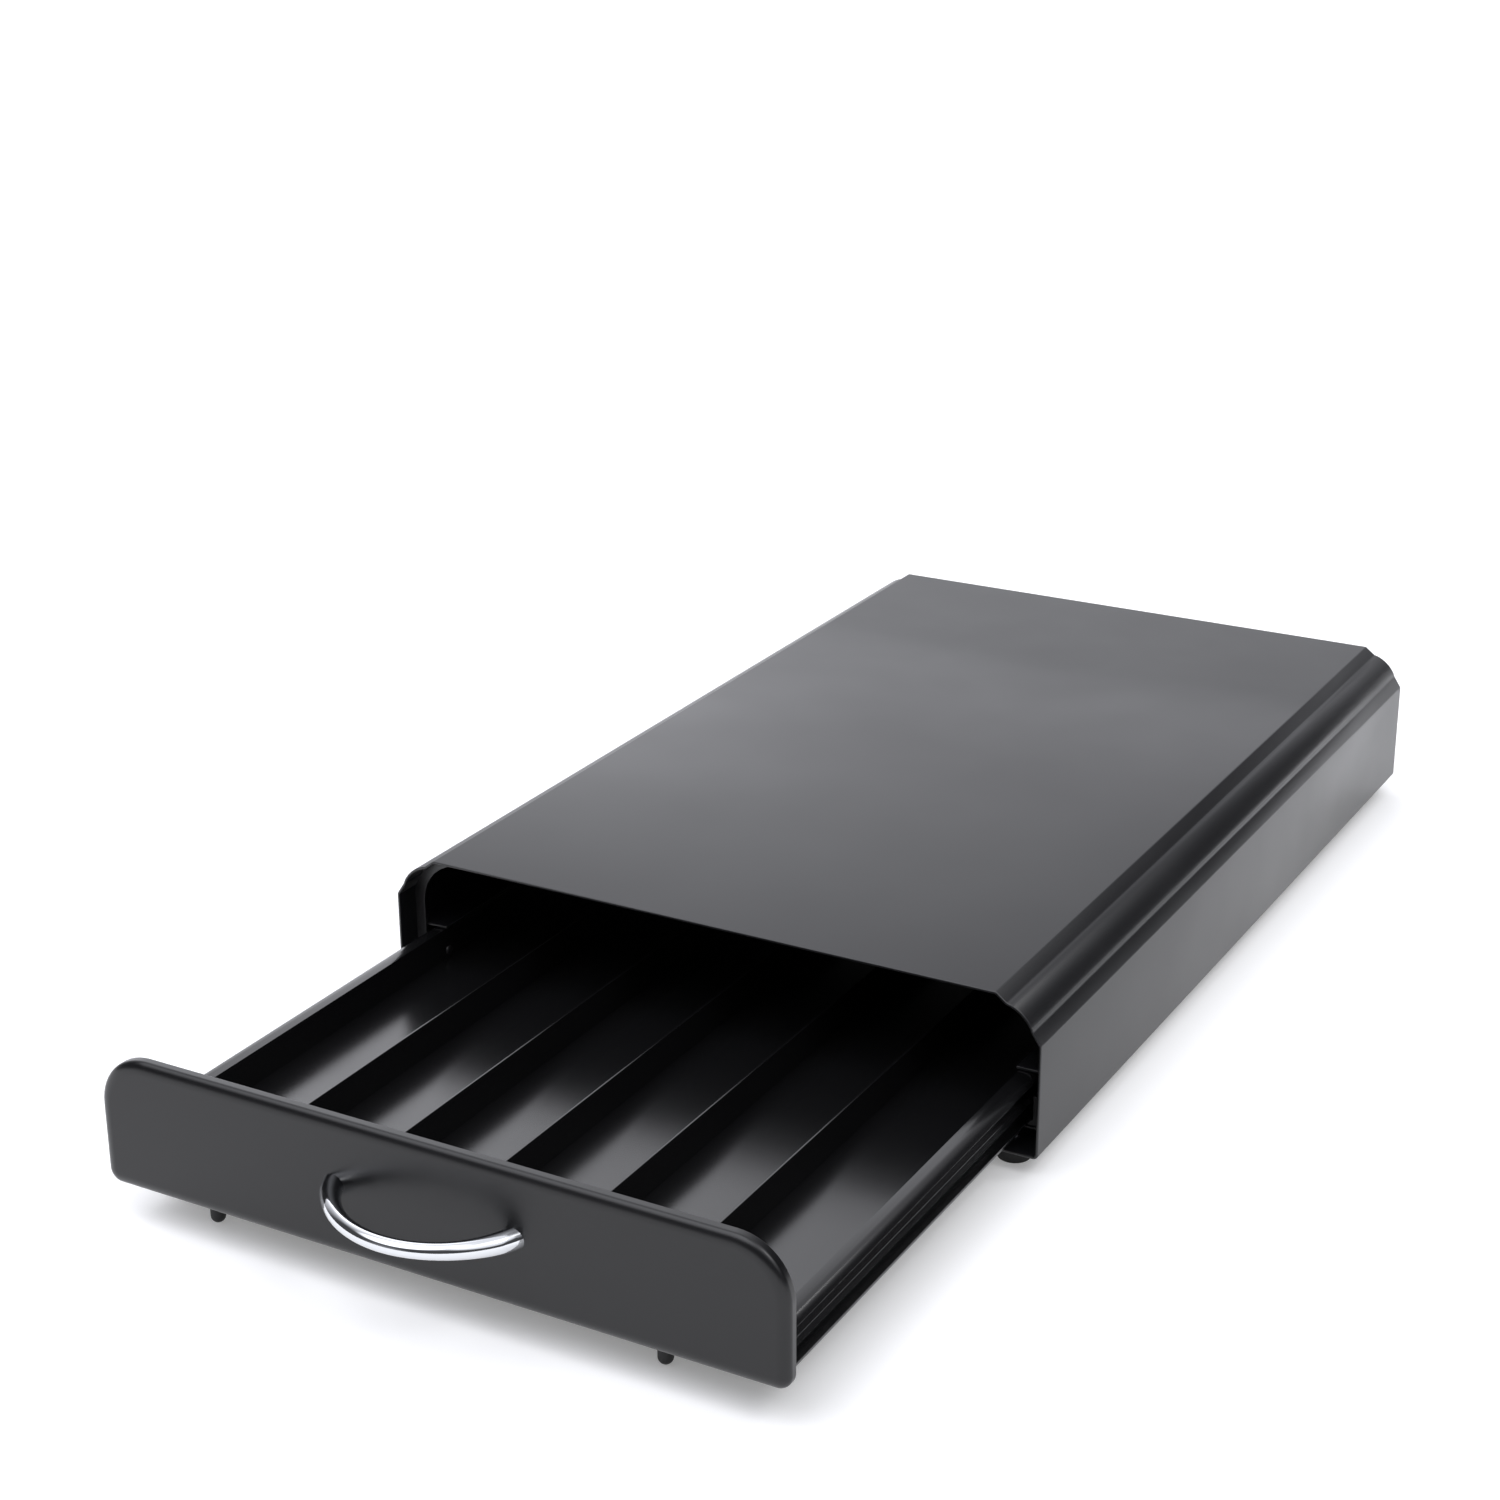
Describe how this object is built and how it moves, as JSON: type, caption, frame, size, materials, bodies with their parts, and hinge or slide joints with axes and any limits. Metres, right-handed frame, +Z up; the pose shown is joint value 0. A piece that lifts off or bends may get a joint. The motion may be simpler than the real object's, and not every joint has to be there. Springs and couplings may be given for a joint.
{
  "type": "coffee pod drawer",
  "caption": "Low black steel housing with moulded top edges, and a drawer with capsule channels that slides out of its front on a chrome bow handle.",
  "frame": {"origin": "on the counter, under the middle of the object's box as it stands with its drawer open", "axes": "+X to the right and -Y out of the front for someone facing the drawer, +Z up"},
  "size_m": [0.266, 0.6, 0.067],
  "materials": {
    "housing_paint": "satin black powder coat",
    "drawer_paint": "semi-gloss black powder coat",
    "panel_black": "satin black",
    "nylon": "smooth black nylon",
    "rubber": "matt black rubber",
    "rivet_steel": "black rivet heads",
    "screw_steel": "zinc-plated screws",
    "chrome": "bright chrome plate"
  },
  "bodies": {
    "housing": {"housing_shell": "housing_paint", "back_panel": "housing_paint", "stop_frame": "housing_paint", "left_runner": "housing_paint", "right_runner": "housing_paint", "left_guide_block": "nylon", "right_guide_block": "nylon", "front_brace": "housing_paint", "rear_brace": "housing_paint", "brace_rivets": "rivet_steel", "front_left_foot": "rubber", "front_right_foot": "rubber", "rear_left_foot": "rubber", "rear_right_foot": "rubber", "foot_screws": "screw_steel"},
    "drawer": {"tray_floor": "drawer_paint", "tray_front": "drawer_paint", "tray_back": "drawer_paint", "left_tray_side": "drawer_paint", "right_tray_side": "drawer_paint", "left_rail": "drawer_paint", "right_rail": "drawer_paint", "rail_rivets": "rivet_steel", "divider_1": "drawer_paint", "divider_2": "drawer_paint", "divider_3": "drawer_paint", "divider_4": "drawer_paint", "divider_5": "drawer_paint", "left_slide_block": "nylon", "right_slide_block": "nylon", "left_glide": "nylon", "right_glide": "nylon", "front_panel": "panel_black", "panel_screws": "screw_steel", "handle": "chrome", "handle_screws": "screw_steel"}
  },
  "joints": [
    {"name": "drawer_slide", "type": "slide", "parent": "housing", "child": "drawer", "axis": [0, -1, 0], "range_m": [-0.176, 0.148]}
  ]
}
